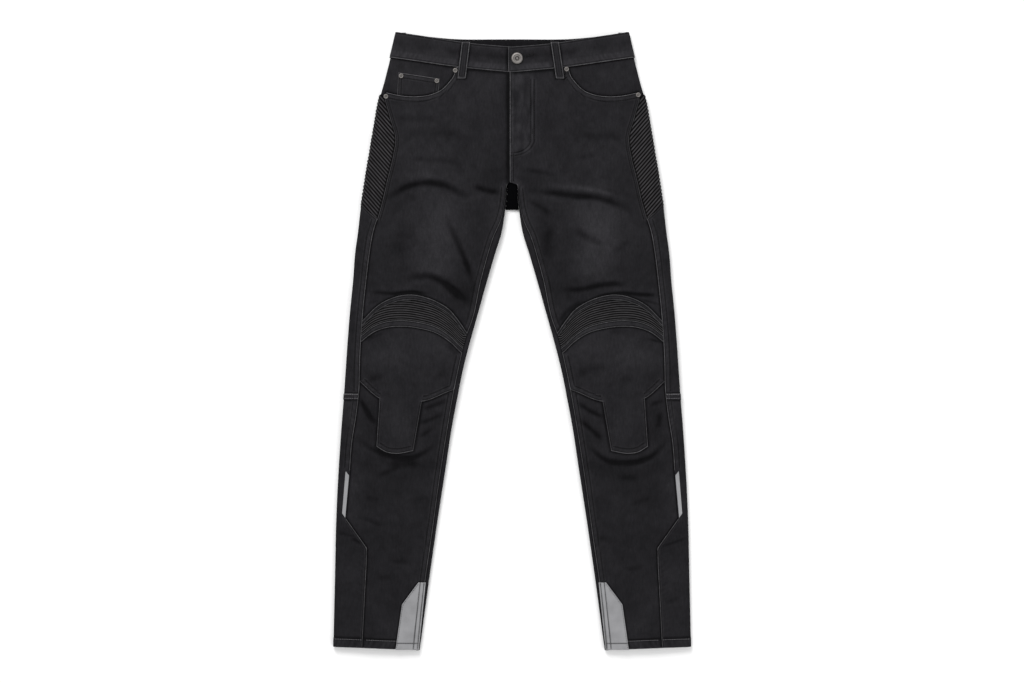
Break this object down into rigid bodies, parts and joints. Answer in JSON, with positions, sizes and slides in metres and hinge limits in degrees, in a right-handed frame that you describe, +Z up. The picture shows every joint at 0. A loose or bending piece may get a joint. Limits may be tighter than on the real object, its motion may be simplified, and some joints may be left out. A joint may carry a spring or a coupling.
{
  "type": "motorcycle trousers",
  "caption": "Slim black denim riding trousers laid flat, with ribbed stretch panels at hips and knees, shaped knee panels and pale reflective ankle patches.",
  "frame": {"origin": "on the floor under the middle of the trousers' bounding box", "axes": "+Z up off the floor towards the front of the trousers, +Y along the legs towards the waist, +X towards the wearer's left leg"},
  "size_m": [0.6028, 1.0407, 0.0211],
  "materials": {
    "denim": "washed black stretch denim, matt",
    "stretch": "black ribbed stretch cloth, matt",
    "reflective": "pale grey reflective cloth, satin",
    "gunmetal": "antique gunmetal, worn"
  },
  "bodies": {
    "root": {"front_thigh_r": "denim", "front_thigh_l": "denim", "knee_band_upper_r": "denim", "knee_band_upper_l": "denim", "knee_band_lower_r": "denim", "knee_band_lower_l": "denim", "knee_panel_r": "denim", "knee_panel_l": "denim", "shin_panel_r": "denim", "shin_panel_l": "denim", "shin_tab_r": "denim", "shin_tab_l": "denim", "side_upper_r": "denim", "side_upper_l": "denim", "side_lower_r": "denim", "side_lower_l": "denim", "back_leg_r": "denim", "back_leg_l": "denim", "pocket_facing_r": "denim", "pocket_facing_l": "denim", "waistband_front_r": "denim", "waistband_front_l": "denim", "belt_loop_r": "denim", "belt_loop_l": "denim", "hip_rib_r": "stretch", "hip_rib_l": "stretch", "knee_rib_r": "stretch", "knee_rib_l": "stretch", "reflective_strip_r": "reflective", "reflective_strip_l": "reflective", "ankle_reflector_r": "reflective", "ankle_reflector_l": "reflective", "waistband_back": "denim", "coin_pocket_r": "denim", "crotch_gusset": "stretch", "tack_button": "gunmetal", "rivet_1": "gunmetal", "rivet_2": "gunmetal", "rivet_3": "gunmetal", "rivet_4": "gunmetal", "rivet_5": "gunmetal", "rivet_6": "gunmetal"}
  },
  "joints": []
}
